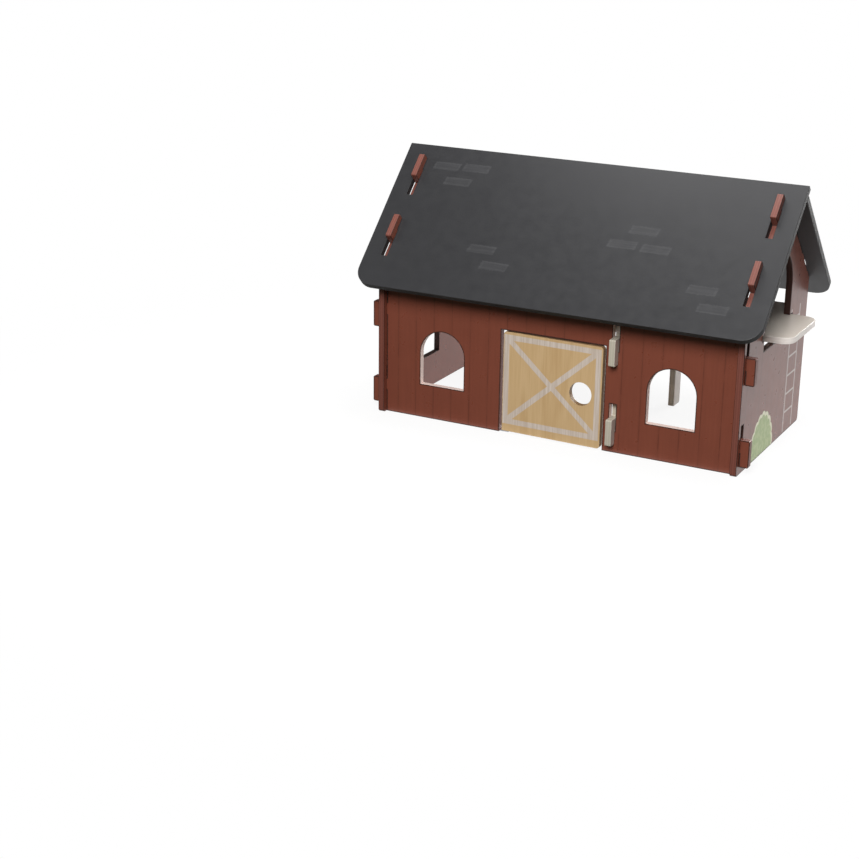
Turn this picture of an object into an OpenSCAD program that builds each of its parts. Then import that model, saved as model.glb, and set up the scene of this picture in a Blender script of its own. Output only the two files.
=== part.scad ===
// Toy barn of slotted boards: two gables, a front wall with a pivoted door, a partition that
// carries a loft floor, and two roof panels that drop over hooks on the gables.
// X runs along the ridge, Y towards the open back and Z up from the floor it stands on.

/* [Board] */
// Thickness of every board
board = 6; // [5:0.5:8]
// Play between a board and each side of the slot it passes through
slot_play = 0.2; // [0.1:0.05:0.4]
// Gap left between two boards that rest against each other
seat_gap = 0.1; // [0.05:0.05:0.3]
// Radius of the gables' lower corners
foot_r = 3; // [1:0.5:8]

/* [House] */
// Length over the outer faces of the two gables
house_l = 360; // [320:1:420]
// Depth of the gables, front edge to back edge
house_d = 180; // [165:1:200]
// Height of the gables' eave corners
eave_h = 141; // [130:1:165]
// Slope of the roof in degrees
roof_pitch = 45; // [38:1:50]

/* [Front wall] */
// Distance of the wall's face behind the gables' front edges
wall_inset = 6; // [3:0.5:12]
// Gap between the wall's top edge and the roof above it
wall_top_gap = 1; // [0.5:0.5:5]

/* [Hook tabs] */
// Height of a hook tab that stands out of a slot
tab_h = 25; // [20:1:30]
// Height of the tab's neck, which lies in the slot
tab_neck = 12.5; // [9:0.5:15]
// Thickness of the tab's nose beyond the board that it hooks over
tab_nose = 8.6; // [6:0.2:12]
// Height of the lower tabs' noses above the floor
low_tab_z = 8; // [4:1:16]
// Height of the upper tabs' noses above the floor
high_tab_z = 83; // [74:1:92]
// Radius of the outer corners of tabs and hooks
hook_r = 1.5; // [0.5:0.25:3]

/* [Windows] */
// Width of an arched window
window_w = 46; // [36:1:52]
// Height of the window sills
window_sill = 33; // [25:1:45]
// Height of the windows' crowns
window_top = 87; // [75:1:100]
// Distance of the front windows' centres from the gables' outer faces
window_edge = 65.5; // [58:0.5:70]

/* [Door] */
// Width of the doorway in the front wall
doorway_w = 104; // [85:1:108]
// Offset of the doorway's middle from the middle of the house
doorway_x = -1.5; // [-5:0.5:1]
// Height of the doorway
doorway_h = 99; // [80:1:110]
// Gap between the leaf and the jamb on the hinge side
hinge_gap = 2.7; // [2:0.1:4]
// Gap between the leaf and the jamb on the free side
free_gap = 1.5; // [1.2:0.1:5]
// Gap between the leaf and the top of the doorway
lintel_gap = 1.1; // [0.8:0.1:3]
// Gap between the leaf and the floor
floor_gap = 1.7; // [1.6:0.1:5]
// Radius of the leaf's corners
leaf_r = 3; // [1:0.5:8]
// Diameter of the finger hole
finger_hole_d = 22; // [18:1:26]
// Distance of the finger hole's centre from the leaf's free edge
finger_hole_edge = 20.8; // [16:0.1:30]
// Height of the finger hole's centre above the floor
finger_hole_z = 50.7; // [30:0.1:70]
// Angle at which the door stands ajar, outwards
door_ajar = 1.4; // [0:0.1:5]

/* [Door pivots] */
// Diameter of the two pivot pins
pin_d = 2.5; // [2:0.1:3]
// Radial play of a pin in the bore that it turns in
pin_play = 0.05; // [0.02:0.01:0.1]
// Distance of the pivot axis from the leaf's hinge edge
pin_inset = 3; // [2.5:0.1:5]
// Depth of each pin in the leaf
pin_in_leaf = 8; // [6:0.5:12]
// Depth of the upper pin in the wall above the doorway
pin_in_wall = 9; // [6:0.5:12]
// Thickness of the pivot bracket's steel
bracket_t = 1; // [0.8:0.1:1.2]
// Height of the pivot bracket's upright plate
bracket_h = 24; // [18:1:32]
// Length of the upright plate beside the doorway
bracket_l = 15; // [12:1:20]
// Width of the bracket's foot flange
bracket_w = 7; // [5:0.5:10]
// Diameter of the bracket screws' shanks
screw_d = 2.5; // [2:0.1:3]
// Diameter of the screws' heads
screw_head_d = 5; // [4.5:0.1:6]
// Height of the screws' heads
screw_head_h = 1.4; // [1:0.1:2]
// Length of the screws' shanks
screw_l = 5.5; // [4:0.5:6]
// Reach of the bracket's toe past the pivot axis
toe_reach = 4; // [2.5:0.1:5]
// Distance of the toe's front end behind the wall's face
toe_setback = 1; // [0:0.1:1.5]
// Radius of the bracket's corners
bracket_r = 2; // [1:0.25:2.5]

/* [Partition] */
// Distance of the partition's middle plane from the doorway's free jamb
partition_edge = 9; // [7.5:0.5:14]
// Distance of the partition's back edge in front of the gables' back edges
partition_inset = 6; // [2:0.5:15]
// Width of the partition's two posts
post_w = 16; // [12:1:24]
// Height of the opening between the posts
passage_h = 82; // [60:1:90]
// Radius of the upper corners of that opening
passage_r = 30; // [10:1:40]

/* [Loft] */
// Height of the loft floor's underside
loft_z = 111; // [109:1:120]
// Overhang of the loft floor past the partition
loft_lip = 11; // [5:1:20]
// Gap between the loft floor and the front wall
loft_side_gap = 0.3; // [0.2:0.1:1]
// Width of the balcony tongue that passes through the gable
balcony_w = 80.5; // [68:0.5:90]
// Distance of the tongue's middle behind the gable's middle line
balcony_shift = 1.5; // [-3:0.1:3]
// Reach of the balcony beyond the gable's outer face
balcony_reach = 25.3; // [18:0.1:35]
// Radius of the balcony's outer corners
balcony_r = 12; // [5:1:25]
// Width of the loft opening in the right gable
hatch_w = 72; // [60:1:76]
// Height of the loft opening's sill
hatch_sill = 101; // [96:1:106]
// Height of the loft opening's crown
hatch_top = 182; // [165:1:186]
// Room in the gable's notches beside the balcony tongue
notch_room = 2.7; // [0.5:0.1:5]
// Width of the partition's tabs that stand in the loft floor
loft_tab_w = 20; // [12:1:30]
// Distance of those tabs from the middle
loft_tab_y = 40; // [25:1:55]

/* [Roof] */
// Overhang of the roof past the gables
roof_side = 17.5; // [12:0.5:25]
// Overhang of the front panel past the gables' eave corners, down the slope
front_eave = 21.5; // [10:0.1:30]
// Overhang of the back panel past the gables' eave corners, down the slope
back_eave = 28.2; // [10:0.1:40]
// Length by which the front panel stands past the back panel at the ridge
ridge_lip = 6.2; // [2:0.1:12]
// Radius of the roof panels' lower corners
roof_r = 18; // [8:1:30]

/* [Roof hooks] */
// Length of a roof hook along the slope
roof_hook_l = 25; // [20:1:30]
// Length of the hook's neck, which lies in the panel's slot
roof_hook_neck = 12.5; // [9:0.5:15]
// Thickness of the hook's nose over the panel
roof_hook_t = 6.7; // [5:0.1:9]
// Distance of the upper hooks from the ridge, down the slope
ridge_hook_edge = 3.5; // [2:0.5:10]
// Distance of the lower hooks from the eave corners, up the slope
eave_hook_edge = 29.3; // [20:0.1:40]
// Extra length of the panel's slot beyond the hook, for lifting the panel off
hook_entry = 5; // [3:0.5:8]

/* [Hidden] */
$fn = 96;

// length by which a cutter runs past the faces that it cuts
cut = 1;

apex_z = eave_h + house_d/2*tan(roof_pitch);
slope_l = house_d/2/cos(roof_pitch);

// the front wall stands between these two planes
wall_front = -house_d/2 + wall_inset;
wall_back = wall_front + board;
wall_top = apex_z + wall_front*tan(roof_pitch) - wall_top_gap;
wall_end = house_l/2 - board;
window_x = house_l/2 - window_edge;

tab_reach = board + slot_play + tab_nose;
tab_heights = [low_tab_z, high_tab_z];

doorway_left = doorway_x - doorway_w/2;
doorway_right = doorway_x + doorway_w/2;
leaf_w = doorway_w - hinge_gap - free_gap;
leaf_top = doorway_h - lintel_gap;
hinge_x = doorway_left + hinge_gap + pin_inset;
hinge_y = wall_front + board/2;

bracket_z = floor_gap - seat_gap*3 - bracket_t;
bracket_end = doorway_left - bracket_l;
toe_end = hinge_x + toe_reach;
screw_x = doorway_left - bracket_l/2;
screw_heights = [bracket_h*0.38, bracket_h*0.75];

partition_x = doorway_right + partition_edge;
partition_back = house_d/2 - partition_inset;
passage_front = wall_back + post_w;
passage_back = partition_back - post_w;

loft_start = partition_x - board/2 - loft_lip;
loft_half_d = -wall_back - loft_side_gap;
notch_w = balcony_w + 2*notch_room;

roof_half_l = house_l/2 + roof_side;
hook_starts = [ridge_hook_edge, slope_l - eave_hook_edge - roof_hook_l];
roof_slot_l = roof_hook_l + hook_entry;
// the back panel ends against the underside of the front panel
back_start = (seat_gap*2 + board*max(0, cos(2*roof_pitch)))/sin(2*roof_pitch);
front_start = -board - ridge_lip;

// the balcony and the back eave reach further than the other ends, so the house stands a little
// left of the middle and in front of it
balcony_end = house_l/2 + balcony_reach;
shift_x = (roof_half_l - max(roof_half_l, balcony_end))/2;
shift_y = (front_eave - back_eave)/2*cos(roof_pitch);

barn_red = [0.45, 0.2, 0.15];
charcoal = [0.24, 0.24, 0.25];
pale_grey = [0.75, 0.73, 0.68];
birch = [0.79, 0.64, 0.45];
steel = [0.7, 0.7, 0.72];

// Waste outside a rounded corner whose edges run from the origin along +X and +Y
module corner_waste(r) {
    difference() {
        translate([-cut, -cut]) square([r + cut, r + cut]);
        translate([r, r]) circle(r);
    }
}

// Flat rectangle whose four corner radii are given from lower left, turning anticlockwise
module rounded_plate(w, h, radii) {
    difference() {
        square([w, h]);
        if (radii[0] > 0) corner_waste(radii[0]);
        if (radii[1] > 0) translate([w, 0]) rotate(90) corner_waste(radii[1]);
        if (radii[2] > 0) translate([w, h]) rotate(180) corner_waste(radii[2]);
        if (radii[3] > 0) translate([0, h]) rotate(270) corner_waste(radii[3]);
    }
}

// Flat arch, standing on the X axis about the origin
module arch(w, h) {
    translate([-w/2, 0]) square([w, h - w/2]);
    translate([0, h - w/2]) circle(d = w);
}

// Moves the house to where the middle of the whole toy's box is the origin
module centred() {
    translate([shift_x, shift_y, 0]) children();
}

// Stands a flat outline drawn in Y and Z up across the house, its left face at x
module across(x) {
    translate([x, 0, 0]) rotate([90, 0, 90]) linear_extrude(board) children();
}

// Stands a flat outline drawn in X and Z up along the house, its front face at y
module along(y) {
    translate([0, y + board, 0]) rotate([90, 0, 0]) linear_extrude(board) children();
}

// Flat hook tab: the neck starts at the near face of the board that it passes through
module hook_tab() {
    translate([-seat_gap - cut, tab_h - tab_neck])
        square([seat_gap + cut + board + slot_play + hook_r*2, tab_neck]);
    translate([board + slot_play, 0])
        rounded_plate(tab_nose, tab_h, [0, hook_r, hook_r, 0]);
}

// Flat slots for a column of hook tabs: high enough for the whole nose to pass
module tab_slots() {
    for (z = tab_heights)
        translate([-board/2 - slot_play, z + tab_h - tab_neck - seat_gap])
            square([board + 2*slot_play, tab_h + slot_play + seat_gap]);
}

// Draws in the plane of a gable along its front slope: X up the slope from the apex, Y outwards
module slope_outline() {
    translate([0, apex_z]) rotate(roof_pitch) children();
}

// Flat roof hook that starts at a distance down the slope and whose nose points up the slope
module roof_hook(start) {
    root = board;
    nose_z = seat_gap + board + slot_play;
    translate([-start - roof_hook_l, 0]) {
        translate([0, -root]) square([roof_hook_neck, root + nose_z + hook_r*2]);
        translate([0, nose_z])
            rounded_plate(roof_hook_l, roof_hook_t, [0, 0, hook_r, hook_r]);
    }
}

// Outline that both gables share, with the hooks for the roof and the slots for the wall
module gable_outline() {
    difference() {
        union() {
            polygon([[-house_d/2, 0], [house_d/2, 0], [house_d/2, eave_h], [0, apex_z],
                     [-house_d/2, eave_h]]);
            for (side = [0, 1])
                mirror([side, 0]) slope_outline() for (start = hook_starts) roof_hook(start);
        }
        translate([-house_d/2, 0]) corner_waste(foot_r);
        translate([house_d/2, 0]) rotate(90) corner_waste(foot_r);
        translate([wall_front + board/2, 0]) tab_slots();
    }
}

module left_gable() {
    color(barn_red) centred()
        across(-house_l/2) difference() {
            gable_outline();
            translate([0, window_sill]) arch(window_w, window_top - window_sill);
        }
}

module right_gable() {
    color(barn_red) centred()
        across(house_l/2 - board) difference() {
            gable_outline();
            translate([0, hatch_sill]) arch(hatch_w, hatch_top - hatch_sill);
            translate([balcony_shift - notch_w/2, loft_z - seat_gap])
                square([notch_w, board + 2*seat_gap + slot_play]);
        }
}

// Flat front wall: body with two hook tabs at each end, two windows and the doorway
module wall_outline() {
    body_half_l = wall_end - seat_gap;
    difference() {
        translate([-body_half_l, 0]) square([2*body_half_l, wall_top]);
        for (side = [-1, 1])
            translate([side*window_x, window_sill]) arch(window_w, window_top - window_sill);
        translate([doorway_left, -cut]) square([doorway_w, doorway_h + cut]);
        translate([partition_x, 0]) tab_slots();
    }
    for (side = [0, 1])
        mirror([side, 0]) translate([wall_end, 0]) for (z = tab_heights)
            translate([0, z]) hook_tab();
}

module front_wall() {
    color(barn_red) centred() difference() {
        along(wall_front) wall_outline();
        translate([hinge_x, hinge_y, doorway_h - cut])
            cylinder(r = pin_d/2 + pin_play, h = pin_in_wall + 2*cut);
        for (z = screw_heights)
            translate([screw_x, wall_back - screw_l + bracket_t, z]) rotate([-90, 0, 0])
                cylinder(d = screw_d, h = screw_l + cut);
    }
}

// Partition: two posts under a rail that carries the loft floor, hooked into the front wall
module partition() {
    rail_z = loft_z - seat_gap;
    depth = partition_back - wall_back - seat_gap;
    color(pale_grey) centred() across(partition_x - board/2) {
        difference() {
            translate([wall_back + seat_gap, 0])
                rounded_plate(depth, rail_z, [0, foot_r, foot_r, 0]);
            translate([passage_front, -cut])
                rounded_plate(passage_back - passage_front, passage_h + cut,
                              [0, 0, passage_r, passage_r]);
        }
        for (z = tab_heights)
            translate([wall_back, z]) mirror([1, 0]) hook_tab();
        for (side = [-1, 1])
            translate([side*loft_tab_y - loft_tab_w/2, rail_z - cut])
                square([loft_tab_w, board + seat_gap + cut]);
    }
}

// Loft floor: the wide end lies on the partition, the tongue passes the gable as a balcony
module loft_floor() {
    wide_l = wall_end - seat_gap - loft_start;
    tongue_l = balcony_end - wall_end + seat_gap + cut;
    slot_l = loft_tab_w + 2*slot_play;
    color(pale_grey) centred() translate([0, 0, loft_z]) linear_extrude(board)
        difference() {
            union() {
                translate([loft_start, -loft_half_d])
                    rounded_plate(wide_l, 2*loft_half_d, [foot_r, foot_r, foot_r, foot_r]);
                translate([balcony_end - tongue_l, balcony_shift - balcony_w/2])
                    rounded_plate(tongue_l, balcony_w, [0, balcony_r, balcony_r, 0]);
            }
            for (side = [-1, 1])
                translate([partition_x - board/2 - slot_play, side*loft_tab_y - slot_l/2])
                    square([board + 2*slot_play, slot_l]);
        }
}

// Flat roof panel from one distance down the slope to past the eave, with the hooks' slots
module panel_outline(start, eave) {
    run = slope_l + eave;
    difference() {
        translate([-roof_half_l, -run])
            rounded_plate(2*roof_half_l, run - start, [roof_r, roof_r, 0, 0]);
        for (side = [-1, 1], hook = hook_starts)
            translate([side*(house_l/2 - board/2) - board/2 - slot_play,
                       -hook - roof_hook_l + roof_hook_neck + seat_gap - roof_slot_l])
                square([board + 2*slot_play, roof_slot_l]);
    }
}

// Lays a flat outline on the front slope: X along the ridge, Y up the slope
module on_slope() {
    translate([0, 0, apex_z]) rotate([roof_pitch, 0, 0])
        translate([0, 0, seat_gap]) linear_extrude(board) children();
}

module front_roof() {
    color(charcoal) centred() on_slope() panel_outline(front_start, front_eave);
}

module back_roof() {
    color(charcoal) centred() mirror([0, 1, 0]) on_slope()
        panel_outline(back_start, back_eave);
}

// Places a child about the door's pivot axis, at the angle at which the door stands
module at_pivot() {
    centred() translate([hinge_x, hinge_y, 0]) rotate([0, 0, -door_ajar]) children();
}

module door() {
    color(birch) at_pivot() difference() {
        translate([0, board/2, 0]) rotate([90, 0, 0]) linear_extrude(board)
            difference() {
                translate([-pin_inset, floor_gap])
                    rounded_plate(leaf_w, leaf_top - floor_gap, [0, leaf_r, leaf_r, leaf_r]);
                translate([leaf_w - pin_inset - finger_hole_edge, finger_hole_z])
                    circle(d = finger_hole_d);
            }
        translate([0, 0, leaf_top - pin_in_leaf]) cylinder(d = pin_d, h = pin_in_leaf + cut);
        translate([0, 0, floor_gap - cut])
            cylinder(r = pin_d/2 + pin_play, h = pin_in_leaf + 2*cut);
    }
}

module upper_pivot_pin() {
    color(steel) at_pivot() translate([0, 0, leaf_top - pin_in_leaf])
        cylinder(d = pin_d, h = pin_in_leaf + lintel_gap + pin_in_wall);
}

module lower_pivot_pin() {
    color(steel) at_pivot() translate([0, 0, bracket_z])
        cylinder(d = pin_d, h = floor_gap + pin_in_leaf - bracket_z);
}

// Bent steel bracket on the inside of the wall: its toe reaches under the leaf to the pivot
module lower_pivot_bracket() {
    toe_front = wall_front + toe_setback;
    flange_back = wall_back + bracket_w;
    color(steel) centred() {
        translate([0, 0, bracket_z]) linear_extrude(bracket_t) difference() {
            union() {
                translate([bracket_end, wall_back + seat_gap])
                    rounded_plate(toe_end - bracket_end, bracket_w - seat_gap,
                                  [0, 0, bracket_r, bracket_r]);
                translate([doorway_left + slot_play, toe_front])
                    rounded_plate(toe_end - doorway_left - slot_play, flange_back - toe_front,
                                  [bracket_r, bracket_r, bracket_r, 0]);
            }
            translate([hinge_x, hinge_y]) circle(d = pin_d);
        }
        difference() {
            translate([0, wall_back + seat_gap + bracket_t, bracket_z]) rotate([90, 0, 0])
                linear_extrude(bracket_t)
                    translate([bracket_end, 0])
                        rounded_plate(doorway_left - bracket_end - cut, bracket_h,
                                      [0, 0, bracket_r, bracket_r]);
            for (z = screw_heights)
                translate([screw_x, wall_back - cut, z]) rotate([-90, 0, 0])
                    cylinder(d = screw_d, h = bracket_t + 3*cut);
        }
    }
}

// Two pan head wood screws that hold the bracket to the wall
module bracket_screws() {
    seat_y = wall_back + seat_gap + bracket_t;
    color(steel) centred() for (z = screw_heights)
        translate([screw_x, seat_y, z]) rotate([90, 0, 0]) {
            cylinder(d = screw_d, h = screw_l + seat_gap);
            translate([0, 0, -screw_head_h])
                cylinder(d1 = screw_head_d*0.7, d2 = screw_head_d, h = screw_head_h);
        }
}

front_wall();
left_gable();
right_gable();
partition();
loft_floor();
front_roof();
back_roof();
door();
upper_pivot_pin();
lower_pivot_pin();
lower_pivot_bracket();
bracket_screws();
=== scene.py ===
"""Toy barn of slotted boards: paint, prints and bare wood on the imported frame, with a studio.

Every board is finished from its own solid: its edges are eased, and its printed face, plain face,
outline and cut-outs each get their own finish. Lengths are millimetres from the middle of the
house at floor level, unless said otherwise.
"""

import logging
import math
from dataclasses import dataclass
from enum import Enum, IntEnum

import bmesh
import bpy
from mathutils import Matrix, Vector


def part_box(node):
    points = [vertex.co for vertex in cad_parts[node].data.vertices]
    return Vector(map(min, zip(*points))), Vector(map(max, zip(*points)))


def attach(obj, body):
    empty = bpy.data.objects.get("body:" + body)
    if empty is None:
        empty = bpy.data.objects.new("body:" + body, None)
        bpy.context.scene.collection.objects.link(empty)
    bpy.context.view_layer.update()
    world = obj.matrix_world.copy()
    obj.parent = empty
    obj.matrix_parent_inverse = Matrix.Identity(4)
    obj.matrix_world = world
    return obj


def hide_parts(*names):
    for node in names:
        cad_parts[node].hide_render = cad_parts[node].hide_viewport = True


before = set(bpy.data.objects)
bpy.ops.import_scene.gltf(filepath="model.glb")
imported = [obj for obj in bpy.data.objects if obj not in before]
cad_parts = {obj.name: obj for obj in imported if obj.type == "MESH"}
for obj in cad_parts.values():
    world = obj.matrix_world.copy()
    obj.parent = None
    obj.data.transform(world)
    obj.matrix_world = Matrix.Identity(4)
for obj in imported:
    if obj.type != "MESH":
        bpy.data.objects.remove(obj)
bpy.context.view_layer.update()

LOG = logging.getLogger("toy_barn")
MM = 0.001
BOARD = 6.0
UP = Vector((0, 0, 1))
FRONT = Vector((0, -1, 0))
RIGHT = Vector((1, 0, 0))


def middle_of(node: str) -> Vector:
    """Finds the middle of a node's box.

    Args:
        node: the CAD node.

    Returns:
        The middle in millimetres, in the frame.
    """
    low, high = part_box(node)
    return (low + high) / 2 / MM


def house_middle() -> Vector:
    """The middle of the house at floor level, in the frame's millimetres."""
    return Vector((middle_of("front_roof").x, middle_of("left_gable").y, 0))


HOUSE = house_middle()


class Body(Enum):
    """The bodies that move against each other."""

    HOUSE = "house"
    LEAF = "door_leaf"
    FRONT_ROOF = "front_roof_panel"


class Slot(Enum):
    """The record's material slots."""

    RED = "red_paint"
    PALE = "pale_paint"
    CHARCOAL = "charcoal_paint"
    BIRCH = "birch"
    STEEL = "steel"


# ---------------------------------------------------------------------------------------------
# Shader arithmetic
# ---------------------------------------------------------------------------------------------


class Value:
    """A shader socket that takes part in Python arithmetic."""

    def __init__(self, graph: "Graph", socket: bpy.types.NodeSocket) -> None:
        """Wraps one output socket of a graph."""
        self.graph = graph
        self.socket = socket

    def math(self, operation: str, *others: "Value | float", clamp: bool = False) -> "Value":
        """Adds one Math node.

        Args:
            operation: the node's operation.
            others: the values after this one.
            clamp: whether the result is held between 0 and 1.

        Returns:
            The node's result.
        """
        settings = {"operation": operation, "use_clamp": clamp}
        return self.graph.node("ShaderNodeMath", settings, dict(enumerate((self, *others))))

    def __add__(self, other: "Value | float") -> "Value":
        """Sum."""
        return self.math("ADD", other)

    def __sub__(self, other: "Value | float") -> "Value":
        """Difference."""
        return self.math("SUBTRACT", other)

    def __rsub__(self, other: float) -> "Value":
        """Difference, reflected."""
        return self.math("MULTIPLY_ADD", -1.0, other)

    def __mul__(self, other: "Value | float") -> "Value":
        """Product."""
        return self.math("MULTIPLY", other)

    def __truediv__(self, other: "Value | float") -> "Value":
        """Quotient."""
        return self.math("DIVIDE", other)

    def __abs__(self) -> "Value":
        """Absolute value."""
        return self.math("ABSOLUTE")

    def __pow__(self, power: float) -> "Value":
        """Power."""
        return self.math("POWER", power)

    def above(self, limit: float) -> "Value":
        """1 where this is over the limit, else 0."""
        return self.math("GREATER_THAN", limit)

    def below(self, limit: float) -> "Value":
        """1 where this is under the limit, else 0."""
        return self.math("LESS_THAN", limit)

    def most(self, other: "Value | float") -> "Value":
        """The greater of two values."""
        return self.math("MAXIMUM", other)

    def clamped(self) -> "Value":
        """This value held between 0 and 1."""
        return self.math("ADD", 0.0, clamp=True)

    def to_line(self, pitch: float) -> "Value":
        """Finds the distance to the nearest of evenly spaced lines.

        Args:
            pitch: the spacing; one line lies at zero.

        Returns:
            The distance, never negative.
        """
        return abs((self / pitch + 0.5).math("FRACT") - 0.5) * pitch

    def ramp(self, start: float, end: float, low: float = 0.0, high: float = 1.0) -> "Value":
        """Runs smoothly from one level to another.

        Args:
            start: this value where the run starts.
            end: this value where the run ends.
            low: the level up to the start.
            high: the level from the end on.

        Returns:
            The level.
        """
        settings = {"interpolation_type": "SMOOTHSTEP"}
        values = {0: self, 1: start, 2: end, 3: low, 4: high}
        return self.graph.node("ShaderNodeMapRange", settings, values)

    def within(self, half: float, soft: float = 0.25) -> "Value":
        """Masks a band about zero.

        Args:
            half: half of the band's width.
            soft: half of the width over which its edges fade.

        Returns:
            1 inside the band and 0 outside.
        """
        return abs(self).ramp(half - soft, half + soft, 1.0, 0.0)


class Graph:
    """One material, whose nodes are written as Python expressions."""

    def __init__(self, name: str) -> None:
        """Starts an empty material.

        Args:
            name: the material's name.
        """
        self.material = bpy.data.materials.new(name)
        self.material.use_nodes = True
        self.tree = self.material.node_tree
        self.tree.nodes.clear()

    def node(self, kind: str, settings: dict | None = None, values: dict | None = None,
             output: int | str = 0) -> Value:
        """Adds any node.

        Args:
            kind: the node's type.
            settings: its properties.
            values: a value, colour or link for each input, by name or number.
            output: which output is returned.

        Returns:
            That output, ready for arithmetic.
        """
        made = self.tree.nodes.new(kind)
        for name, setting in (settings or {}).items():
            setattr(made, name, setting)
        for name, value in (values or {}).items():
            if isinstance(value, Value):
                self.tree.links.new(value.socket, made.inputs[name])
            else:
                made.inputs[name].default_value = value
        return Value(self, made.outputs[output])

    def place(self) -> tuple[Value, Value, Value]:
        """Reads the object coordinates.

        Returns:
            The place in millimetres from the middle of the house, one value for each axis.
        """
        point = self.node("ShaderNodeTexCoord", output="Object")
        split = self.node("ShaderNodeSeparateXYZ", values={0: point}).socket.node.outputs
        return tuple(Value(self, split[axis]) * (1 / MM) - HOUSE[axis] for axis in range(3))

    def vector(self, x: Value | float, y: Value | float, z: Value | float) -> Value:
        """A vector from three values."""
        return self.node("ShaderNodeCombineXYZ", values={0: x, 1: y, 2: z})

    def noise(self, vector: Value, detail: float = 3.0, roughness: float = 0.5) -> Value:
        """Adds noise whose features are about one unit of the vector.

        Args:
            vector: where it is read.
            detail: octaves of finer noise.
            roughness: strength of the finer octaves.

        Returns:
            The noise, mostly between 0.3 and 0.7.
        """
        values = {"Vector": vector, "Scale": 1.0, "Detail": detail, "Roughness": roughness}
        return self.node("ShaderNodeTexNoise", values=values)

    def mix(self, factor: Value | float, first: Value | tuple, second: Value | tuple,
            blend: str = "MIX") -> Value:
        """Mixes two colours.

        Args:
            factor: share of the second colour.
            first: the colour below.
            second: the colour on top.
            blend: how the two are blended.

        Returns:
            The mixed colour.
        """
        settings = {"data_type": "RGBA", "blend_type": blend, "clamp_factor": True}
        return self.node("ShaderNodeMix", settings, {0: factor, 6: first, 7: second}, output=2)

    def tone(self, colour: Value | tuple, level: Value) -> Value:
        """A colour made lighter or darker by a level about 1."""
        return self.mix(1.0, colour, self.vector(level, level, level), "MULTIPLY")

    def bump(self, height: Value, distance: float) -> Value:
        """A normal bumped by a height between 0 and 1 over a distance."""
        return self.node("ShaderNodeBump", values={"Height": height, "Distance": distance * MM})

    def principled(self, **sockets: Value | float | tuple) -> bpy.types.Material:
        """Ends the material in a Principled BSDF.

        Args:
            sockets: its inputs, with underscores for spaces.

        Returns:
            The finished material.
        """
        values = {name.replace("_", " "): value for name, value in sockets.items()}
        return self.end(self.node("ShaderNodeBsdfPrincipled", values=values))

    def end(self, shader: Value) -> bpy.types.Material:
        """Ends the material in a shader.

        Args:
            shader: the shader that the surface shows.

        Returns:
            The finished material.
        """
        output = self.tree.nodes.new("ShaderNodeOutputMaterial")
        self.tree.links.new(shader.socket, output.inputs["Surface"])
        return self.material


def rgb(red: float, green: float, blue: float) -> tuple[float, float, float, float]:
    """Turns screen levels into a linear colour.

    Args:
        red: level between 0 and 255.
        green: level between 0 and 255.
        blue: level between 0 and 255.

    Returns:
        The colour with full alpha.
    """
    shares = (level / 255 for level in (red, green, blue))
    return (*(s / 12.92 if s <= 0.04045 else ((s + 0.055) / 1.055) ** 2.4 for s in shares), 1.0)


# ---------------------------------------------------------------------------------------------
# Finishes
# ---------------------------------------------------------------------------------------------


class Grain(Enum):
    """The way that a board's veneer runs, as the share of each axis in the fibres' length."""

    ALONG_RIDGE = (1, 0, 0)
    UPRIGHT = (0, 0, 1)


@dataclass(frozen=True)
class Veneer:
    """Fine figure that lies along the grain."""

    grain: Grain = Grain.UPRIGHT
    fibre: float = 1.7
    stretch: float = 24.0

    def fibres(self, graph: Graph, seed: float = 0.0) -> Value:
        """Makes fine streaks along the grain.

        Args:
            graph: the material.
            seed: moves the pattern.

        Returns:
            Streaks, mostly between 0.3 and 0.7.
        """
        x, y, z = graph.place()
        scales = [1 / self.fibre / (self.stretch if share else 1) for share in self.grain.value]
        place = graph.vector(x * scales[0] + seed, y * scales[1], z * scales[2])
        return graph.noise(place, detail=3.0, roughness=0.6)

    def patches(self, graph: Graph, size: float, seed: float = 0.0) -> Value:
        """Makes soft patches.

        Args:
            graph: the material.
            size: the patches' size.
            seed: moves the pattern.

        Returns:
            Patches, mostly between 0.3 and 0.7.
        """
        x, y, z = graph.place()
        return graph.noise(graph.vector(x / size + seed, y / size, z / size), detail=2.0)


@dataclass(frozen=True)
class Paint:
    """A satin paint through which the veneer shows faintly."""

    name: str
    colour: tuple
    veneer: Veneer = Veneer()
    streak: float = 0.22
    cloud: float = 0.16
    cloud_size: float = 38.0
    roughness: float = 0.30
    gloss_spread: float = 0.14
    gloss_size: float = 9.0
    relief: float = 0.008

    def coat(self, graph: Graph) -> tuple[Value, Value]:
        """Lays the paint before any print.

        Args:
            graph: the material.

        Returns:
            The colour and the veneer's fibres.
        """
        fibres = self.veneer.fibres(graph)
        patches = self.veneer.patches(graph, self.cloud_size)
        level = (fibres - 0.5) * self.streak + (patches - 0.5) * self.cloud + 1.0
        return graph.tone(self.colour, level), fibres

    def finish(self, graph: Graph, colour: Value, fibres: Value) -> bpy.types.Material:
        """Ends a painted material.

        Args:
            graph: the material.
            colour: the paint with its print.
            fibres: the veneer's fibres, which stand up faintly.

        Returns:
            The material.
        """
        spread = self.veneer.patches(graph, self.gloss_size, seed=7.0) - 0.5
        sheen = spread * self.gloss_spread + self.roughness
        return graph.principled(Base_Color=colour, Roughness=sheen, IOR=1.5,
                                Normal=graph.bump(fibres, self.relief))

    def plain(self) -> bpy.types.Material:
        """The paint with no print."""
        graph = Graph(self.name)
        return self.finish(graph, *self.coat(graph))


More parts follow.
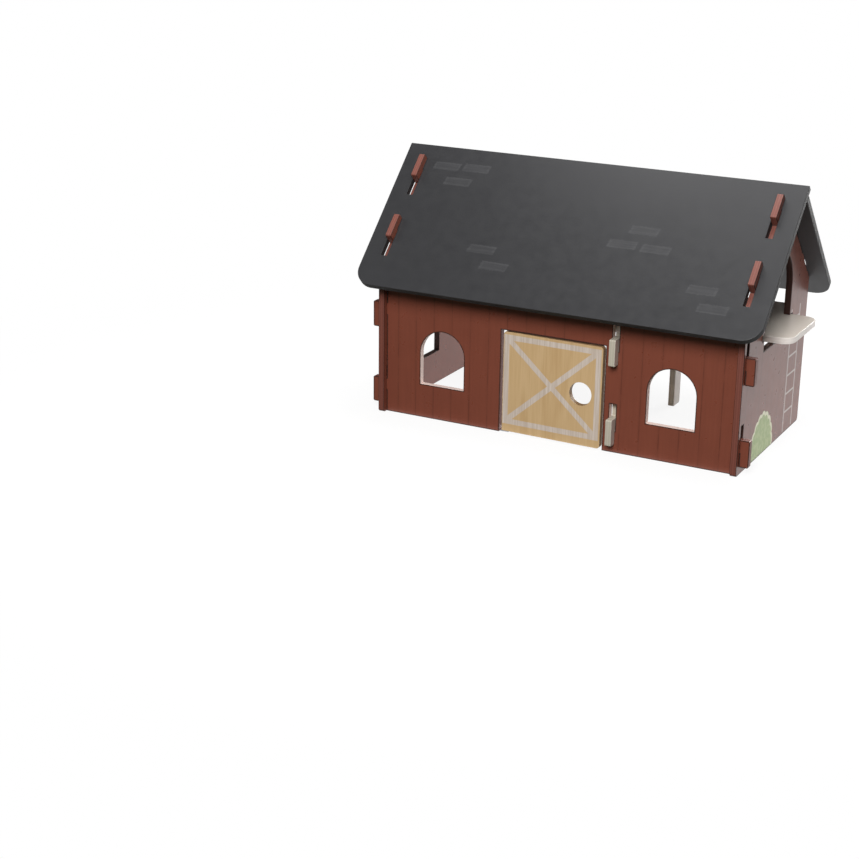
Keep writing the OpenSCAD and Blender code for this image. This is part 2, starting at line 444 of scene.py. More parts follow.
@dataclass(frozen=True)
class PlankPrint:
    """Thin lines printed on a red board, as the joints of upright planks."""

    paint: Paint
    axis: int
    first_joint: float
    pitch: float
    line_w: float = 0.75
    line_core: float = 0.2
    shade_w: float = 3.0
    shade: float = 0.05
    waver: float = 0.7
    wear_size: float = 16.0
    wear_noise: tuple[float, float] = (0.32, 0.6)
    worn: tuple[float, float] = (0.08, 0.36)
    line_colour: tuple = rgb(56, 28, 22)

    def printed(self, graph: Graph) -> tuple[Value, Value]:
        """Lays the paint with the joints on it.

        Args:
            graph: the material.

        Returns:
            The colour and the veneer's fibres.
        """
        colour, fibres = self.paint.coat(graph)
        along = graph.place()[self.axis] - self.first_joint
        waver = (self.paint.veneer.fibres(graph, seed=3.0) - 0.5) * self.waver
        joint = along.to_line(self.pitch) + waver
        line = joint.ramp(self.line_w * self.line_core, self.line_w, 1.0, 0.0)
        shade = joint.ramp(0.0, self.shade_w, 1.0, 0.0)
        wear = self.paint.veneer.patches(graph, self.wear_size, seed=4.0)
        worn = wear.ramp(*self.wear_noise, *self.worn)
        colour = graph.mix(shade * self.shade, colour, self.line_colour)
        return graph.mix(line * worn, colour, self.line_colour), fibres

    def material(self, name: str) -> bpy.types.Material:
        """The printed face under that name."""
        graph = Graph(name)
        return self.paint.finish(graph, *self.printed(graph))


@dataclass(frozen=True)
class GablePrint:
    """The balcony gable's print: planks, a ladder up to the loft and a bush at its foot."""

    planks: PlankPrint
    rails: tuple[float, float] = (42.6, 68.0)
    rail_w: float = 2.4
    ladder_foot: float = 2.0
    ladder_top: float = 121.0
    first_rung: float = 21.0
    rung_pitch: float = 18.0
    rung_h: float = 1.9
    ladder_cover: float = 0.8
    ladder_colour: tuple = rgb(196, 188, 184)
    bush_y: float = -23.0
    bush_half_w: float = 35.0
    bush_h: float = 42.0
    bush_fullness: float = 1.9
    scallops: float = 19.0
    scallop_depth: float = 0.06
    scallop_round: float = 0.6
    scallop_foot: float = 0.93
    outline_soft: float = 0.01
    rim: float = 0.07
    rim_soft: float = 0.03
    dab_size: float = 5.0
    dab_noise: tuple[float, float] = (0.44, 0.58)
    bush_colour: tuple = rgb(146, 166, 100)
    dab_colour: tuple = rgb(164, 178, 116)
    rim_colour: tuple = rgb(216, 214, 184)

    def ladder(self, graph: Graph) -> Value:
        """Masks the ladder.

        Args:
            graph: the material.

        Returns:
            1 on its rails and rungs.
        """
        _, y, z = graph.place()
        first, last = self.rails
        half = (last - first) / 2
        from_middle = abs(y - (first + last) / 2)
        rails = (from_middle - half).within(self.rail_w / 2)
        rungs = (z - self.first_rung).to_line(self.rung_pitch).within(self.rung_h / 2)
        rungs = rungs * from_middle.below(half) * z.above(self.first_rung / 2)
        return rails.most(rungs) * z.above(self.ladder_foot) * z.below(self.ladder_top)

    def bush(self, graph: Graph) -> tuple[Value, Value]:
        """Masks the bush.

        Args:
            graph: the material.

        Returns:
            1 on the bush, and 1 on its pale rim.
        """
        _, y, z = graph.place()
        across = (y - self.bush_y) / self.bush_half_w
        up = z.most(0.0) / self.bush_h
        reach = (abs(across) ** self.bush_fullness + up ** 2.0) ** 0.5
        turn = up.math("ARCTAN2", across)
        lobes = abs((turn * (self.scallops / 2)).math("SINE"))
        outline = lobes ** self.scallop_round * self.scallop_depth + self.scallop_foot
        edge = 1.0 - (outline - reach)
        body = edge.ramp(1.0 - self.outline_soft, 1.0 + self.outline_soft, 1.0, 0.0)
        return body, edge.ramp(1.0 - self.rim_soft - self.rim, 1.0 - self.rim) * body

    def material(self, name: str) -> bpy.types.Material:
        """Prints planks, ladder and bush on the paint.

        Args:
            name: the material's name.

        Returns:
            The material.
        """
        graph = Graph(name)
        colour, fibres = self.planks.printed(graph)
        colour = graph.mix(self.ladder(graph) * self.ladder_cover, colour, self.ladder_colour)
        body, rim = self.bush(graph)
        dabs = self.planks.paint.veneer.patches(graph, self.dab_size, seed=6.0)
        green = graph.mix(dabs.ramp(*self.dab_noise), self.bush_colour, self.dab_colour)
        colour = graph.mix(body, colour, graph.mix(rim, green, self.rim_colour))
        return self.planks.paint.finish(graph, colour, fibres)


@dataclass(frozen=True)
class ShinglePrint:
    """A few faint shingles printed on the roof's charcoal paint."""

    paint: Paint
    facing: int
    places: tuple[tuple[float, float], ...]
    apex_z: float
    shingle_l: float = 27.0
    shingle_w: float = 8.5
    rim_l: float = 2.0
    rim_w: float = 1.4
    inner_fade: float = 0.4
    lean: float = 0.2
    ragged: float = 2.4
    ragged_size: float = 2.4
    chalk_noise: tuple[float, float] = (0.35, 0.62)
    chalk: tuple[float, float] = (0.45, 1.0)
    cover: float = 0.18
    colour: tuple = rgb(104, 104, 106)

    def tile(self, graph: Graph, along: Value, down: Value) -> Value:
        """Masks one shingle, sketched with a firmer rim.

        Args:
            graph: the material.
            along: distance from its middle along the ridge.
            down: distance from its middle down the slope.

        Returns:
            The print's strength, up to 1.
        """
        half_l, half_w = self.shingle_l / 2, self.shingle_w / 2
        face = along.within(half_l, soft=0.6) * down.within(half_w, soft=0.5)
        inner = (along.within(half_l - self.rim_l, soft=0.8)
                 * down.within(half_w - self.rim_w, soft=0.6))
        return face * (1.0 - inner * self.inner_fade)

    def material(self, name: str) -> bpy.types.Material:
        """Prints the shingles on the paint.

        Args:
            name: the material's name.

        Returns:
            The material.
        """
        graph = Graph(name)
        colour, fibres = self.paint.coat(graph)
        x, y, z = graph.place()
        rough = self.paint.veneer.patches(graph, self.ragged_size, seed=9.0)
        ragged = (rough - 0.5) * self.ragged
        down = (y * self.facing - z + self.apex_z) * math.sqrt(0.5) + ragged
        mask = x * 0.0
        for at_x, at_down in self.places:
            from_middle = down - at_down
            along = x - at_x + from_middle * self.lean + ragged
            mask = mask.most(self.tile(graph, along, from_middle))
        fine = self.paint.veneer.fibres(graph, seed=5.0)
        chalk = fine.ramp(*self.chalk_noise, *self.chalk)
        colour = graph.mix(mask * chalk * self.cover, colour, self.colour)
        return self.paint.finish(graph, colour, fibres)


@dataclass(frozen=True)
class BareWood:
    """Sealed birch veneer."""

    name: str
    light: tuple = rgb(201, 171, 129)
    dark: tuple = rgb(184, 150, 105)
    veneer: Veneer = Veneer(Grain.UPRIGHT, 1.3, 30.0)
    figure_w: float = 26.0
    figure_stretch: float = 7.0
    rings: float = 34.0
    ring_share: float = 0.12
    fibre_share: float = 0.55
    broad_share: float = 0.5
    tone_range: tuple[float, float] = (0.1, 0.72)
    roughness: float = 0.42
    gloss_spread: float = 0.2
    relief: float = 0.04

    def figure(self, graph: Graph) -> tuple[Value, Value]:
        """Draws the wood.

        Args:
            graph: the material.

        Returns:
            Its colour and its fibres.
        """
        x, y, z = graph.place()
        place = graph.vector(x / self.figure_w, y / self.figure_w,
                             z / self.figure_w / self.figure_stretch)
        broad = graph.noise(place, detail=2.0)
        rings = (broad * self.rings).math("SINE") * 0.5 + 0.5
        fibres = self.veneer.fibres(graph, seed=1.0)
        tone = rings * self.ring_share + fibres * self.fibre_share
        tone = tone + (broad - 0.5) * self.broad_share
        return graph.mix(tone.ramp(*self.tone_range), self.light, self.dark), fibres

    def finish(self, graph: Graph, colour: Value, fibres: Value) -> bpy.types.Material:
        """Ends a bare wood material.

        Args:
            graph: the material.
            colour: the wood with its print.
            fibres: the wood's fibres, which stand up faintly.

        Returns:
            The material.
        """
        sheen = (fibres - 0.5) * self.gloss_spread + self.roughness
        return graph.principled(Base_Color=colour, Roughness=sheen, IOR=1.45,
                                Normal=graph.bump(fibres, self.relief))

    def plain(self) -> bpy.types.Material:
        """Bare wood with no print."""
        graph = Graph(self.name)
        return self.finish(graph, *self.figure(graph))


@dataclass(frozen=True)
class DoorPrint:
    """Frame and cross brace printed on the leaf's front, in the leaf's own turned axes."""

    wood: BareWood
    hinge: Vector
    turn: float
    left: float
    right: float
    bottom: float
    top: float
    strip: float = 5.2
    brace: float = 5.2
    colour: tuple = rgb(206, 194, 185)
    worn_colour: tuple = rgb(188, 176, 167)
    worn_fibres: tuple[float, float] = (0.34, 0.66)
    cover_fibres: tuple[float, float] = (0.3, 0.7)
    cover: tuple[float, float] = (0.95, 0.8)

    def strips(self, graph: Graph) -> Value:
        """Masks the printed strips.

        Args:
            graph: the material.

        Returns:
            1 on the frame and the brace.
        """
        x, y, z = graph.place()
        along = (x - self.hinge.x) * math.cos(self.turn) - (y - self.hinge.y) * math.sin(self.turn)
        half_w, half_h = (self.right - self.left) / 2, (self.top - self.bottom) / 2
        u = along - (self.left + self.right) / 2
        v = z - (self.bottom + self.top) / 2
        outer = u.within(half_w) * v.within(half_h)
        inner = u.within(half_w - self.strip) * v.within(half_h - self.strip)
        run, rise = half_w - self.strip / 2, half_h - self.strip / 2
        size = math.hypot(run, rise)
        mask = outer * (1.0 - inner)
        for way in (-1.0, 1.0):
            beside = u * (rise / size * way) + v * (run / size)
            mask = mask.most(beside.within(self.brace / 2) * outer)
        return mask

    def material(self, name: str) -> bpy.types.Material:
        """Prints the frame and the brace on the wood.

        Args:
            name: the material's name.

        Returns:
            The material.
        """
        graph = Graph(name)
        colour, fibres = self.wood.figure(graph)
        grey = graph.mix(fibres.ramp(*self.worn_fibres), self.colour, self.worn_colour)
        cover = fibres.ramp(*self.cover_fibres, *self.cover)
        colour = graph.mix(self.strips(graph) * cover, colour, grey)
        return self.wood.finish(graph, colour, fibres)


@dataclass(frozen=True)
class PlyEdge:
    """Cut edge of plywood, whose layers lie along the board."""

    name: str
    light: tuple
    dark: tuple
    contrast: float = 0.8
    roughness: float = 0.45
    gloss_spread: float = 0.25
    relief: float = 0.06
    plies: int = 5
    glue_w: tuple[float, float] = (0.04, 0.2)
    speck: float = 1.5
    cross_share: float = 0.45
    speck_share: float = 0.5
    glue_share: float = 0.4

    def material(self, across: Vector, middle: Vector) -> bpy.types.Material:
        """Makes the edge finish of one board.

        Args:
            across: direction through the board.
            middle: a point in the board's middle plane.

        Returns:
            The material.
        """
        graph = Graph(self.name)
        x, y, z = graph.place()
        depth = x * across.x + y * across.y + z * across.z - (middle.dot(across) - BOARD / 2)
        ply = BOARD / self.plies
        cross_ply = (depth / (2 * ply)).math("FRACT").above(0.5)
        glue = depth.to_line(ply).ramp(*self.glue_w, 1.0, 0.0)
        place = graph.vector(x / self.speck, y / self.speck, z / self.speck)
        specks = graph.noise(place, detail=3.0)
        tone = cross_ply * self.cross_share + specks * self.speck_share + glue * self.glue_share
        tone = tone * self.contrast
        return graph.principled(
            Base_Color=graph.mix(tone.clamped(), self.light, self.dark),
            Roughness=(specks - 0.5) * self.gloss_spread + self.roughness, IOR=1.5,
            Normal=graph.bump(specks - glue * 0.5, self.relief))


@dataclass(frozen=True)
class ZincPlate:
    """Zinc-plated steel with faint spangle."""

    name: str
    colour: tuple = rgb(198, 199, 202)
    dull: tuple = rgb(166, 168, 174)
    spangle: float = 2.0
    spangle_noise: tuple[float, float] = (0.35, 0.65)
    roughness: float = 0.30
    gloss_spread: float = 0.3
    relief: float = 0.01

    def material(self) -> bpy.types.Material:
        """Makes the plated surface.

        Returns:
            The material.
        """
        graph = Graph(self.name)
        x, y, z = graph.place()
        place = graph.vector(x / self.spangle, y / self.spangle, z / self.spangle)
        spots = graph.noise(place, detail=3.0)
        return graph.principled(
            Base_Color=graph.mix(spots.ramp(*self.spangle_noise), self.colour, self.dull),
            Metallic=1.0, Roughness=(spots - 0.5) * self.gloss_spread + self.roughness,
            Normal=graph.bump(spots, self.relief))


# ---------------------------------------------------------------------------------------------
# Making pieces
# ---------------------------------------------------------------------------------------------

WELD = 0.002
FLAT_ANGLE = math.radians(0.4)
SHARP_ANGLE = math.radians(35)


def select_only(piece: bpy.types.Object) -> None:
    """Selects one object and makes it active.

    Args:
        piece: the object.
    """
    bpy.ops.object.select_all(action="DESELECT")
    piece.select_set(True)
    bpy.context.view_layer.objects.active = piece


def merged_copy(node: str, name: str) -> bpy.types.Object:
    """Copies a CAD node and turns its loose triangles into clean flat faces.

    Args:
        node: the CAD node.
        name: the new piece's name.

    Returns:
        The copy, with no materials.
    """
    piece = bpy.data.objects.new(name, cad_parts[node].data.copy())
    bpy.context.scene.collection.objects.link(piece)
    piece.data.materials.clear()
    select_only(piece)
    bpy.ops.object.mode_set(mode="EDIT")
    bpy.ops.mesh.select_all(action="SELECT")
    bpy.ops.mesh.remove_doubles(threshold=WELD * MM)
    bpy.ops.mesh.dissolve_limited(angle_limit=FLAT_ANGLE, delimit={"NORMAL"})
    bpy.ops.mesh.select_all(action="DESELECT")
    bpy.ops.object.mode_set(mode="OBJECT")
    if piece.data.has_custom_normals:
        bpy.ops.mesh.customdata_custom_splitnormals_clear()
    return piece


def ease_edges(piece: bpy.types.Object, width: float, segments: int, finish: int = -1) -> None:
    """Rounds a piece's edges slightly, as sanding and paint do.

    Args:
        piece: the piece.
        width: width of the rounding.
        segments: steps of the rounding.
        finish: number of the rounding's own material, or -1 for that of the faces beside it.
    """
    select_only(piece)
    bpy.ops.object.shade_smooth()
    bevel = piece.modifiers.new("eased edges", "BEVEL")
    bevel.width = width * MM
    bevel.segments = segments
    bevel.limit_method = "ANGLE"
    bevel.angle_limit = SHARP_ANGLE
    bevel.harden_normals = True
    bevel.material = finish
    bpy.ops.object.modifier_apply(modifier=bevel.name)


def settle(piece: bpy.types.Object, node: str, body: Body) -> bpy.types.Object:
    """Puts a finished piece on its body in place of its solid.

    Args:
        piece: the finished piece.
        node: the CAD node that it replaces.
        body: the body that it rides.

    Returns:
        The piece.
    """
    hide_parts(node)
    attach(piece, body.value)
    LOG.info("%s: %d faces on %s", piece.name, len(piece.data.polygons), body.value)
    return piece


class Skin(IntEnum):
    """The number of each finish among a board's materials."""

    FRONT = 0
    BACK = 1
    OUTLINE = 2
    CUTOUT = 3
    EASED = 4


@dataclass(frozen=True)
class Skins:
    """One board's finishes; with none for the eased edges, they keep that of the faces beside."""

    front: bpy.types.Material
    back: bpy.types.Material
    outline: bpy.types.Material
    cutouts: bpy.types.Material
    eased: bpy.types.Material | None = None


@dataclass
class Board:
    """One board, finished from its CAD solid."""

    node: str
    body: Body
    slot: Slot
    facing: Vector
    skins: Skins
    ease: float = 0.45
    rim_w: float = 0.9
    flat: float = 0.99

    def build(self) -> bpy.types.Object:
        """Builds the board.

        Returns:
            The finished piece, which replaces the solid.
        """
        piece = merged_copy(self.node, f"{self.node}_board")
        skins = self.skins
        for skin in (skins.front, skins.back, skins.outline, skins.cutouts, skins.eased):
            if skin:
                piece.data.materials.append(skin)
        self.dress(piece)
        if skins.eased:
            self.mark_rim(piece)
        ease_edges(piece, self.ease, segments=3, finish=Skin.EASED if skins.eased else -1)
        return settle(piece, self.node, self.body)

    def dress(self, piece: bpy.types.Object) -> None:
        """Gives each face its finish: the longest band of edge faces is the outline.

        Args:
            piece: the merged board.
        """
        mesh = bmesh.new()
        mesh.from_mesh(piece.data)
        facing = self.facing.normalized()
        edge_faces = set()
        for face in mesh.faces:
            along = face.normal.dot(facing)
            face.material_index = Skin.FRONT if along > self.flat else Skin.BACK
            if abs(along) < self.flat:
                edge_faces.add(face)
        bands = self.bands(edge_faces)
        for band in bands:
            for face in band:
                face.material_index = Skin.CUTOUT
        for face in max(bands, key=lambda band: sum(face.calc_area() for face in band)):
            face.material_index = Skin.OUTLINE
        mesh.to_mesh(piece.data)
        mesh.free()

    def mark_rim(self, piece: bpy.types.Object) -> None:
        """Gives a narrow rim of the printed face, along every cut, the eased edges' finish.

        Args:
            piece: the dressed board.
        """
        select_only(piece)
        bpy.ops.object.mode_set(mode="EDIT")
        bpy.ops.mesh.select_mode(type="FACE")
        bpy.ops.mesh.select_all(action="DESELECT")
        piece.active_material_index = Skin.FRONT
        bpy.ops.object.material_slot_select()
        bpy.ops.mesh.inset(thickness=self.rim_w * MM, depth=0.0, use_select_inset=True)
        piece.active_material_index = Skin.EASED
        bpy.ops.object.material_slot_assign()
        bpy.ops.mesh.select_all(action="DESELECT")
        bpy.ops.object.mode_set(mode="OBJECT")

    @staticmethod
    def bands(faces: set[bmesh.types.BMFace]) -> list[list[bmesh.types.BMFace]]:
        """Sorts faces into bands that hang together.

        Args:
            faces: the faces.

        Returns:
            The bands.
        """
        left = set(faces)
        bands = []
        while left:
            band, reached = [], [left.pop()]
            while reached:
                face = reached.pop()
                band.append(face)
                beside = {other for edge in face.edges for other in edge.link_faces} & left
                left -= beside
                reached.extend(beside)
            bands.append(band)
        return bands


# ---------------------------------------------------------------------------------------------
# The barn
# ---------------------------------------------------------------------------------------------


def board_middle(node: str) -> Vector:
    """The middle of a flat board, from the middle of the house."""
    return middle_of(node) - HOUSE


@dataclass
class Walls:
    """Front wall and two gables in barn red, printed with planks."""

    red: tuple = rgb(120, 65, 50)
    edge_light: tuple = rgb(128, 75, 63)
    edge_dark: tuple = rgb(92, 48, 40)
    # Dark cut-out edges of the gables: partly laser burn, partly painted shade of jambs that lie in
    # shade.
    burnt_and_shaded_cut: tuple = (rgb(72, 40, 31), rgb(38, 19, 14))
    # Pale cut-out edges of the front wall: bare wood, lightened further as a painted highlight for
    # the sill that faces the light.
    bare_cut_with_highlight: tuple = (rgb(236, 214, 206), rgb(206, 181, 172))
    # Dark rim along every cut and eased edge of the red boards: partly laser char, partly painted
    # shade at the arris and along the floor line.
    char: tuple = rgb(62, 33, 25)
    plank_w: float = 19.0

    def edges(self, node: str, across: Vector,
              cut: tuple) -> tuple[bpy.types.Material, bpy.types.Material]:
        """Makes the finishes of a red board's edge faces.

        Args:
            node: the board's node.
            across: direction through the board.
            cut: the cut-outs' two tones.

        Returns:
            The stained outline and the cut-outs.
        """
        stained = PlyEdge(f"{node}_stained_edge", self.edge_light, self.edge_dark, contrast=0.7)
        # The cut-outs' tones are partly painted light: painted shade on the gables, a painted
        # highlight on the front wall.
        bare = PlyEdge(f"{node}_cut_edge", *cut, contrast=0.6, roughness=0.7)
        middle = board_middle(node)
        return stained.material(across, middle), bare.material(across, middle)

    def build(self) -> list[bpy.types.Object]:
        """Builds the three boards.

        Returns:
            The pieces.
        """
        paint = Paint("barn_red", self.red)
        inner = paint.plain()
        # The dark rim's paint: partly laser char, partly painted shade.
        char_and_shade_paint = Paint("charred_and_shaded_red_edge", self.char, roughness=0.55).plain()
        wall = PlankPrint(paint, 0, self.plank_w / 2, self.plank_w)
        gable = PlankPrint(paint, 1, 0.0, self.plank_w)
        ladder = GablePrint(gable)
        made = []
        for node, facing, printed, cut in (
                ("front_wall", FRONT, wall.material("barn_red_planks"), self.bare_cut_with_highlight),
                ("left_gable", -RIGHT, gable.material("barn_red_gable_planks"), self.burnt_and_shaded_cut),
                ("right_gable", RIGHT, ladder.material("barn_red_ladder_and_bush"),
                 self.burnt_and_shaded_cut)):
            skins = Skins(printed, inner, *self.edges(node, facing, cut), char_and_shade_paint)
            made.append(Board(node, Body.HOUSE, Slot.RED, facing, skins).build())
        return made


@dataclass
class Loft:
    """Partition and loft floor in pale grey; the loft floor's tones are lighter, as painted light.
    """

    partition_tone: tuple = rgb(190, 181, 172)
    partition_edge: tuple = (rgb(190, 183, 168), rgb(160, 152, 136))
    # The same pale paint as the partition, made lighter: painted light on the up-facing loft floor
    # and balcony, and on its edges.
    lit_floor_tone: tuple = rgb(217, 208, 197)
    lit_floor_edge: tuple = (rgb(242, 234, 228), rgb(219, 210, 203))

    def build(self) -> list[bpy.types.Object]:
        """Builds the two boards.

        Returns:
            The pieces.
        """
        floor_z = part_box("loft_floor")[0].z / MM + BOARD / 2
        made = []
        for node, facing, grain, middle, tone, tones in (
                ("partition", RIGHT, Grain.UPRIGHT, board_middle("partition"),
                 self.partition_tone, self.partition_edge),
                # The loft floor's lighter tones are painted light.
                ("loft_floor", UP, Grain.ALONG_RIDGE, UP * floor_z,
                 self.lit_floor_tone, self.lit_floor_edge)):
            paint = Paint(f"pale_grey_{node}", tone, Veneer(grain), streak=0.10, cloud=0.06,
                          roughness=0.34)
            face = paint.plain()
            edge = PlyEdge(f"{node}_pale_edge", *tones, contrast=0.55)
            rim = edge.material(facing, middle)
            skins = Skins(face, face, rim, rim)
            made.append(Board(node, Body.HOUSE, Slot.PALE, facing, skins).build())
        return made


@dataclass
class Roof:
    """Two charcoal panels with a few printed shingles."""

    seat_gap: float = 0.1
    apex_z: float = 231.0
    charcoal: tuple = rgb(41, 41, 43)
    edge_light: tuple = rgb(44, 43, 44)
    edge_dark: tuple = rgb(27, 26, 27)
    front_shingles: tuple = ((-150, 10), (-119, 9), (-133, 26), (-82, 95), (-64, 111), (65, 54),
                             (49, 70.5), (81, 71.5), (134.5, 106), (149, 123))
    back_shingles: tuple = ((132, 30), (102, 30), (118, 47), (16, 92), (47, 92), (31, 109),
                            (-92, 54), (-122, 54), (-138, 126))

    def build(self) -> list[bpy.types.Object]:
        """Builds the two panels.

        Returns:
            The pieces.
        """
        paint = Paint("charcoal", self.charcoal, Veneer(Grain.ALONG_RIDGE), streak=0.12,
                      cloud=0.16, roughness=0.40)
        under = paint.plain()
        made = []
        for node, body, way, shingles in (
                ("front_roof", Body.FRONT_ROOF, -1, self.front_shingles),
                ("back_roof", Body.HOUSE, 1, self.back_shingles)):
            facing = Vector((0, way, 1)).normalized()
            middle = UP * self.apex_z + facing * (self.seat_gap + BOARD / 2)
            top = ShinglePrint(paint, way, shingles, self.apex_z)
            edge = PlyEdge(f"{node}_charcoal_edge", self.edge_light, self.edge_dark, contrast=0.6,
                           roughness=0.7)
            rim = edge.material(facing, middle)
            skins = Skins(top.material(f"{node}_shingles"), under, rim, rim)
            made.append(Board(node, body, Slot.CHARCOAL, facing, skins).build())
        return made


@dataclass
class Door:
    """The birch leaf with its printed frame and cross brace."""

    ajar: float = 1.4
    hinge_edge: float = 3.0
    leaf_w: float = 99.8
    left_margin: float = 0.7
    right_margin: float = 1.6
    bottom_margin: float = 7.3
    top_margin: float = 2.6
    # The leaf's cut edges: partly laser burn, partly painted shade, darkened for the edge face that
    # lies in shadow beside the jamb.
    edge_light: tuple = rgb(160, 128, 90)
    edge_dark: tuple = rgb(112, 82, 54)

    def build(self) -> list[bpy.types.Object]:
        """Builds the leaf.

        Returns:
            The piece.
        """
        low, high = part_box("door")
        hinge = board_middle("upper_pivot_pin")
        turn = math.radians(self.ajar)
        facing = Vector((-math.sin(turn), -math.cos(turn), 0))
        wood = BareWood("birch")
        face = DoorPrint(wood, hinge, turn, self.left_margin - self.hinge_edge,
                         self.leaf_w - self.hinge_edge - self.right_margin,
                         low.z / MM + self.bottom_margin, high.z / MM - self.top_margin)
        edge = PlyEdge("birch_ply_edge_burnt_and_shaded", self.edge_light, self.edge_dark)
        rim = edge.material(facing, hinge)
        skins = Skins(face.material("birch_frame_and_brace"), wood.plain(), rim, rim)
        return [Board("door", Body.LEAF, Slot.BIRCH, facing, skins).build()]


@dataclass
class Pivots:
    """Steel pins, bracket and screws that carry the door."""

    ease: float = 0.12
    recess_l: float = 2.9
    recess_w: float = 0.7
    recess_d: float = 0.7

    def build(self) -> list[bpy.types.Object]:
        """Builds the pivot hardware.

        Returns:
            The pieces.
        """
        steel = ZincPlate("zinc_plated_steel").material()
        bodies = {"upper_pivot_pin": Body.LEAF, "lower_pivot_pin": Body.HOUSE,
                  "lower_pivot_bracket": Body.HOUSE, "bracket_screws": Body.HOUSE}
        made = []
        for node, body in bodies.items():
            piece = merged_copy(node, f"{node}_plated")
            piece.data.materials.append(steel)
            if node == "bracket_screws":
                self.cut_recesses(piece)
            ease_edges(piece, self.ease, segments=2)
            made.append(settle(piece, node, body))
        return made

    def cut_recesses(self, screws: bpy.types.Object) -> None:
        """Cuts a cross recess into each screw's head.

        Args:
            screws: the merged screws, whose heads face the back.
        """
        low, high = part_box("bracket_screws")
        half = (high.x - low.x) / 2
        for z in (low.z + half, high.z - half):
            middle = Vector(((low.x + high.x) / 2, high.y, z))
            for size in ((self.recess_l, self.recess_w), (self.recess_w, self.recess_l)):
                bpy.ops.object.select_all(action="DESELECT")
                bpy.ops.mesh.primitive_cube_add(size=1.0, location=middle)
                blade = bpy.context.object
                blade.scale = (size[0] * MM, 2 * self.recess_d * MM, size[1] * MM)
                bpy.ops.object.transform_apply(location=True, rotation=True, scale=True)
                cut = screws.modifiers.new("recess", "BOOLEAN")
                cut.operation = "DIFFERENCE"
                cut.object = blade
                select_only(screws)
                bpy.ops.object.modifier_apply(modifier=cut.name)
                bpy.data.objects.remove(blade)


# ---------------------------------------------------------------------------------------------
# Studio
# ---------------------------------------------------------------------------------------------


def from_house(azimuth: float, elevation: float) -> Vector:
    """Finds a direction from the house.

    Args:
        azimuth: degrees round from the front towards the right.
        elevation: degrees up from the floor.

    Returns:
        The unit direction.
    """
    turn, rise = math.radians(azimuth), math.radians(elevation)
    return Vector((math.sin(turn) * math.cos(rise), -math.cos(turn) * math.cos(rise),
                   math.sin(rise)))


@dataclass
class Softbox:
    """One round area light that looks at the barn; lengths in metres."""

    name: str
    azimuth: float
    elevation: float
    distance: float
    size: float
    power: float

    def build(self, target: Vector) -> None:
        """Adds the light.

        Args:
            target: the point that it looks at.
        """
        back = from_house(self.azimuth, self.elevation)
        data = bpy.data.lights.new(self.name, "AREA")
        data.shape = "DISK"
        data.size = self.size
        data.energy = self.power
        lamp = bpy.data.objects.new(self.name, data)
        lamp.location = target + back * self.distance
        lamp.rotation_mode = "QUATERNION"
        lamp.rotation_quaternion = back.to_track_quat("Z", "Y")
        bpy.context.scene.collection.objects.link(lamp)


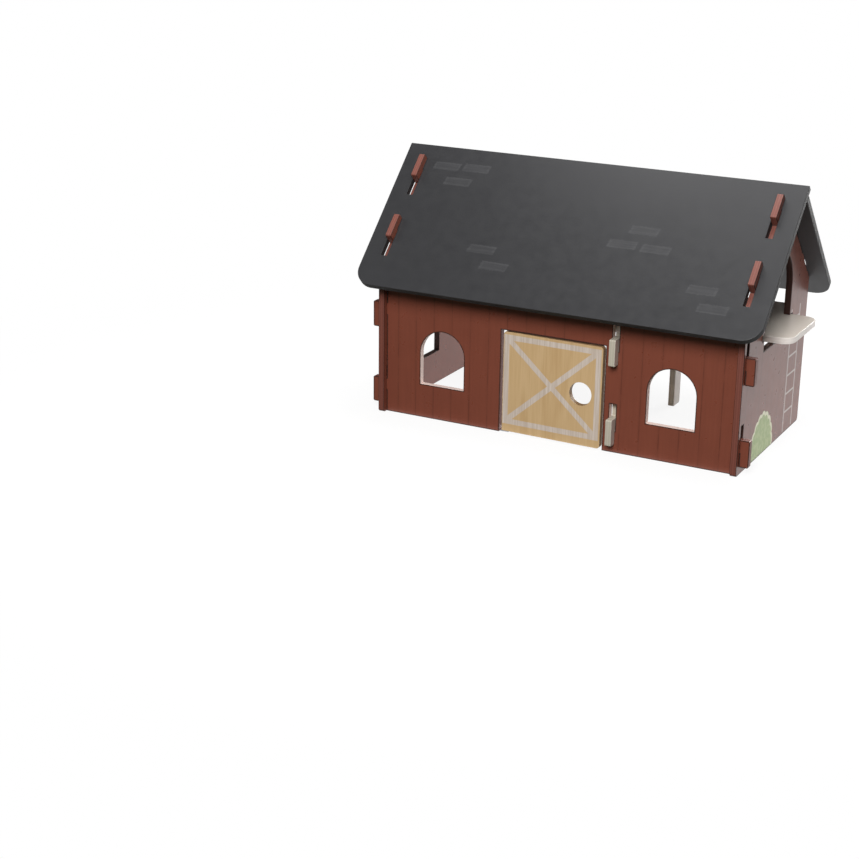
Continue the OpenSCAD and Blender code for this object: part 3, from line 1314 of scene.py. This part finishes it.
@dataclass
class Studio:
    """White floor and backdrop, plain soft light and the camera."""

    azimuth: float = 27.965
    elevation: float = 19.371
    roll: float = 0.75
    camera_at: tuple = (620.31, -1491.59, 548.95)
    field_of_view: float = 27.356
    ambient: float = 0.18
    backdrop: float = 0.05
    aim_height: float = 100.0
    view_range: tuple[float, float] = (50.0, 50000.0)
    floor_size: float = 14000.0
    floor_paper: tuple = (0.8, 0.8, 0.8, 1.0)
    floor_white: tuple = (0.95, 0.95, 0.95, 1.0)
    floor_shade: float = 0.12
    shade_start: float = 280.0
    shade_reach: float = 700.0
    front_edge: float = -84.0
    front_fade: float = 10.0
    front_tone: tuple = rgb(70, 72, 60)
    lights: tuple[Softbox, ...] = (
        Softbox("key_softbox", 14, 35, 1.7, 0.8, 29.0),
        Softbox("top_softbox", -122, 75.5, 0.754, 0.4, 1.95),
        Softbox("right_softbox", 90, 80, 1.4, 0.8, 7.0),
        Softbox("back_softbox", 160, 12, 0.73, 0.4, 4.6),
        Softbox("left_softbox", -70, 35, 2.4, 1.2, 5.0),
    )

    def build(self) -> None:
        """Builds floor, lights, world and camera."""
        self.floor()
        for light in self.lights:
            light.build(HOUSE * MM + UP * (self.aim_height * MM))
        self.world()
        self.camera()

    def floor(self) -> None:
        """A wide floor: white to the camera, but darker before the barn to gloss and soft light."""
        bpy.ops.object.select_all(action="DESELECT")
        bpy.ops.mesh.primitive_plane_add(size=self.floor_size * MM, location=(0, 0, 0))
        floor = bpy.context.object
        floor.name = "studio_floor"
        graph = Graph("studio_floor")
        x, y, _ = graph.place()
        front = y.ramp(self.front_edge - self.front_fade, self.front_edge, 1.0, 0.0)
        reach = (x * x + y * y) ** 0.5
        paper = graph.node("ShaderNodeBsdfDiffuse", values={
            "Color": graph.mix(front, self.floor_paper, self.front_tone)})
        white = graph.node("ShaderNodeBsdfDiffuse", values={"Color": self.floor_white})
        glow = graph.node("ShaderNodeEmission", values={"Strength": 1.0})
        dim = graph.node("ShaderNodeEmission", values={"Color": self.front_tone})
        shade = reach.ramp(self.shade_start, self.shade_reach, self.floor_shade, 0.0)
        shown = graph.node("ShaderNodeMixShader", values={0: shade, 1: glow, 2: white})
        glossed = graph.node("ShaderNodeMixShader", values={0: front, 1: glow, 2: dim})
        camera = graph.node("ShaderNodeLightPath", output="Is Camera Ray")
        gloss = graph.node("ShaderNodeLightPath", output="Is Glossy Ray")
        lit = graph.node("ShaderNodeMixShader", values={0: gloss, 1: paper, 2: glossed})
        floor.data.materials.append(
            graph.end(graph.node("ShaderNodeMixShader", values={0: camera, 1: lit, 2: shown})))

    def world(self) -> None:
        """Even light from all round, which the camera sees white and gloss sees nearly black."""
        world = bpy.data.worlds.new("studio")
        world.use_nodes = True
        bpy.context.scene.world = world
        nodes, links = world.node_tree.nodes, world.node_tree.links
        nodes.clear()
        path = nodes.new("ShaderNodeLightPath")
        shown = nodes.new("ShaderNodeBackground")
        shown.inputs["Strength"].default_value = self.ambient
        shown.inputs["Color"].default_value = (1, 1, 1, 1)
        for ray, strength in (("Is Glossy Ray", self.backdrop), ("Is Camera Ray", 1.0)):
            seen = nodes.new("ShaderNodeBackground")
            seen.inputs["Color"].default_value = (1, 1, 1, 1)
            seen.inputs["Strength"].default_value = strength
            mixed = nodes.new("ShaderNodeMixShader")
            links.new(path.outputs[ray], mixed.inputs[0])
            links.new(shown.outputs[0], mixed.inputs[1])
            links.new(seen.outputs[0], mixed.inputs[2])
            shown = mixed
        out = nodes.new("ShaderNodeOutputWorld")
        links.new(shown.outputs[0], out.inputs["Surface"])

    def camera(self) -> None:
        """The camera, solved from the barn's straight edges."""
        roll = math.radians(self.roll)
        back = from_house(self.azimuth, self.elevation)
        level = UP.cross(back).normalized()
        upright = back.cross(level)
        right = level * math.cos(roll) + upright * math.sin(roll)
        above = upright * math.cos(roll) - level * math.sin(roll)
        data = bpy.data.cameras.new("camera")
        data.sensor_fit = "HORIZONTAL"
        data.angle = math.radians(self.field_of_view)
        data.clip_start, data.clip_end = (end * MM for end in self.view_range)
        camera = bpy.data.objects.new("camera", data)
        place = Matrix((right, above, back)).transposed().to_4x4()
        place.translation = (Vector(self.camera_at) + HOUSE) * MM
        camera.matrix_world = place
        bpy.context.scene.collection.objects.link(camera)
        bpy.context.scene.camera = camera


def main() -> None:
    """Builds the barn's pieces and the studio."""
    logging.basicConfig(level=logging.INFO, format="%(name)s: %(message)s")
    pieces = [piece for part in (Walls(), Loft(), Roof(), Door(), Pivots())
              for piece in part.build()]
    Studio().build()
    bpy.context.scene.view_settings.view_transform = "Standard"
    bpy.context.view_layer.update()
    LOG.info("%d pieces", len(pieces))


if __name__ == "__main__":
    main()
